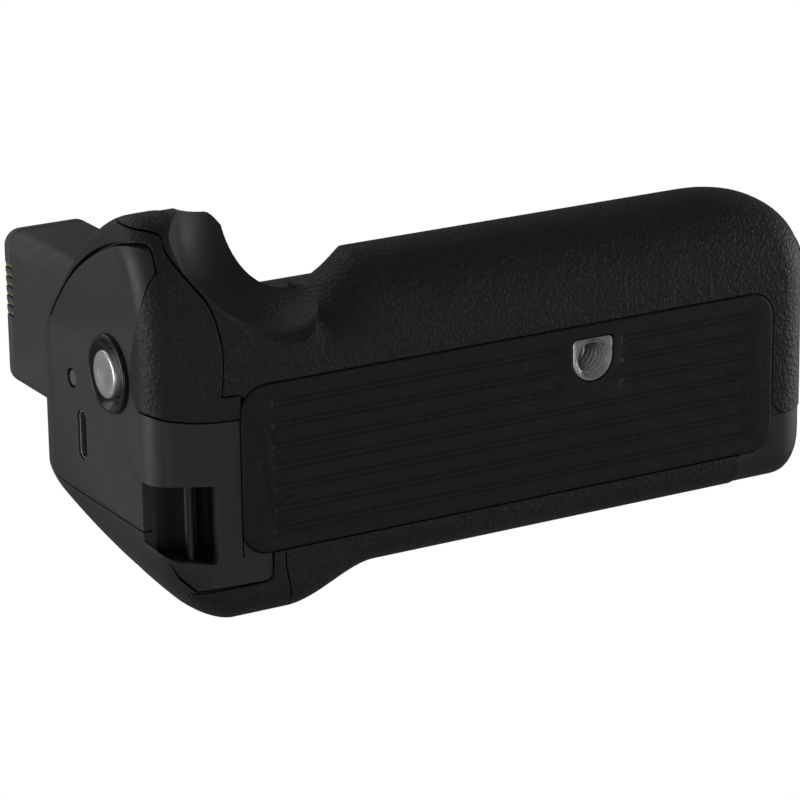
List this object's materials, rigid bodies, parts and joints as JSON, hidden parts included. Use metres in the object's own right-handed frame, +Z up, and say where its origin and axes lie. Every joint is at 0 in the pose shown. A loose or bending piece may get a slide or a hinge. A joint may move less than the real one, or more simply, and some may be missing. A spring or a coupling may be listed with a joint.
{
  "type": "camera battery grip",
  "caption": "Battery grip that screws under a camera, with a battery drawer, a stalk that goes into the camera's battery room and a shutter button for upright pictures.",
  "frame": {"origin": "mouth of the tripod socket, in the plane of the bottom pad", "axes": "+X to the end with the shutter button, +Y to the front of the camera, +Z up to the camera"},
  "size_m": [0.1453, 0.0729, 0.0915],
  "materials": {
    "shell": "fine satin",
    "panel": "fine satin",
    "dark_plastic": "satin",
    "inner_plastic": "satin",
    "stalk": "fine grain",
    "rubber": "leather grain",
    "pad": "matt",
    "gloss": "gloss",
    "button_metal": "satin",
    "steel": "satin",
    "spring_steel": "brushed",
    "bush": "turned",
    "contact": "plated",
    "board": "solder mask",
    "lamp": "clear",
    "lens": "clear"
  },
  "bodies": {
    "housing": {"front_shell": "shell", "rear_shell": "shell", "top_plate": "shell", "end_panel": "panel", "corner_grip": "rubber", "front_grip": "rubber", "rear_grip": "rubber", "thumb_grip": "rubber", "bottom_pad": "pad", "tripod_socket": "steel", "strap_pocket": "dark_plastic", "strap_bar": "steel", "shutter_collar": "gloss", "shutter_switch": "dark_plastic", "usb_shell": "steel", "usb_tongue": "dark_plastic", "charge_led": "lamp", "light_pipe": "lens", "end_board": "board", "main_board": "board", "board_screws": "steel", "end_board_screws": "steel", "battery_stalk": "stalk", "stalk_cap": "stalk", "stalk_contacts": "contact", "battery_chamber": "inner_plastic", "chamber_contacts": "contact", "screw_bush": "bush", "locating_pin": "steel", "top_cushion": "pad", "top_screws": "steel", "base_screws": "steel"},
    "shutter": {"shutter_button": "button_metal", "shutter_clip": "spring_steel"},
    "wheel": {"thumbwheel": "dark_plastic", "attachment_screw": "steel"},
    "drawer": {"battery_drawer": "inner_plastic", "drawer_contacts": "contact", "drawer_cap": "panel", "cap_screws": "steel"},
    "lock": {"lock_knob": "gloss", "lock_cam": "spring_steel"}
  },
  "joints": [
    {"name": "shutter_press", "type": "slide", "parent": "housing", "child": "shutter", "axis": [-1, 0, 0], "range_m": [0, 0.0008], "stiffness_N_per_m": 1500},
    {"name": "wheel_spin", "type": "hinge", "parent": "housing", "child": "wheel", "pos_m": [0, 0, 0.0378], "axis": [0, 0, 1], "continuous": true},
    {"name": "drawer_slide", "type": "slide", "parent": "housing", "child": "drawer", "axis": [-1, 0, 0], "range_m": [0, 0.094]},
    {"name": "lock_turn", "type": "hinge", "parent": "drawer", "child": "lock", "pos_m": [-0.05, 0.006, 0.018], "axis": [-1, 0, 0], "range_deg": [0, 90]}
  ]
}
